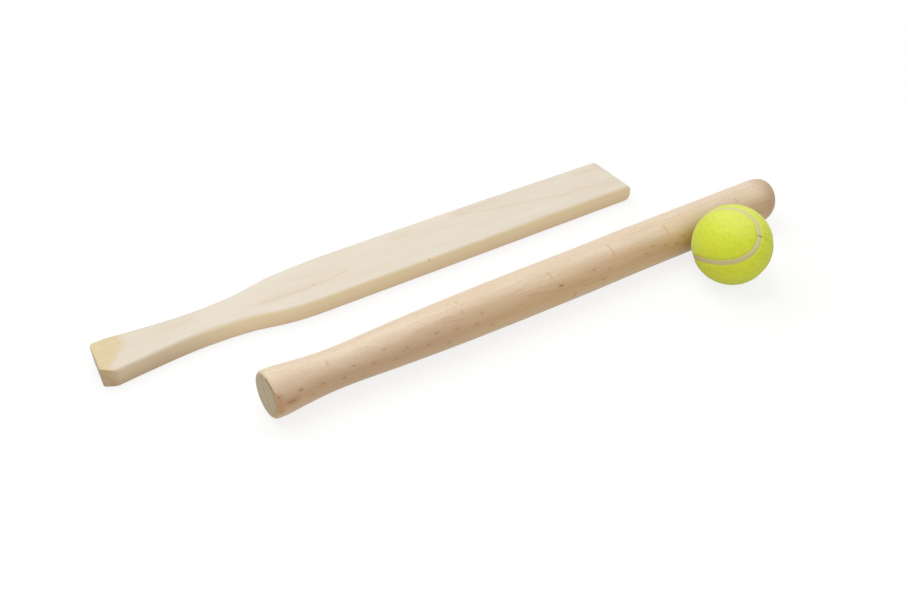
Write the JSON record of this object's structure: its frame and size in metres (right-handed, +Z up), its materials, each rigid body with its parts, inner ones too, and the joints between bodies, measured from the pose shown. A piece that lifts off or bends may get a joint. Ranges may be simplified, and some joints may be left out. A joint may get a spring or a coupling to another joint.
{
  "type": "rounders set",
  "caption": "Rounders set of a flat wooden bat, a round turned wooden bat and a hollow felt-covered rubber ball, lying side by side.",
  "frame": {"origin": "middle of the set's footprint, on the surface it lies on", "axes": "+X along both bats towards their tips, +Y from the round bat towards the flat bat, +Z up"},
  "size_m": [0.5686, 0.2169, 0.0649],
  "materials": {
    "pale_wood": "sanded, unvarnished",
    "beech_wood": "sanded, thin clear coat",
    "core_rubber": "matte moulded",
    "yellow_felt": "napped felt",
    "seam_cement": "matte cement"
  },
  "bodies": {
    "flat_bat": {"flat_bat": "pale_wood"},
    "round_bat": {"round_bat": "beech_wood"},
    "ball": {"ball_core_half_a": "core_rubber", "ball_core_half_b": "core_rubber", "ball_felt_panel_a": "yellow_felt", "ball_felt_panel_b": "yellow_felt", "ball_seam": "seam_cement"}
  },
  "joints": [
    {"name": "round_bat_lift", "type": "slide", "parent": "flat_bat", "child": "round_bat", "axis": [0, 0, 1], "range_m": [0, 0.25]},
    {"name": "ball_lift", "type": "slide", "parent": "flat_bat", "child": "ball", "axis": [0, 0, 1], "range_m": [0, 0.25]}
  ]
}
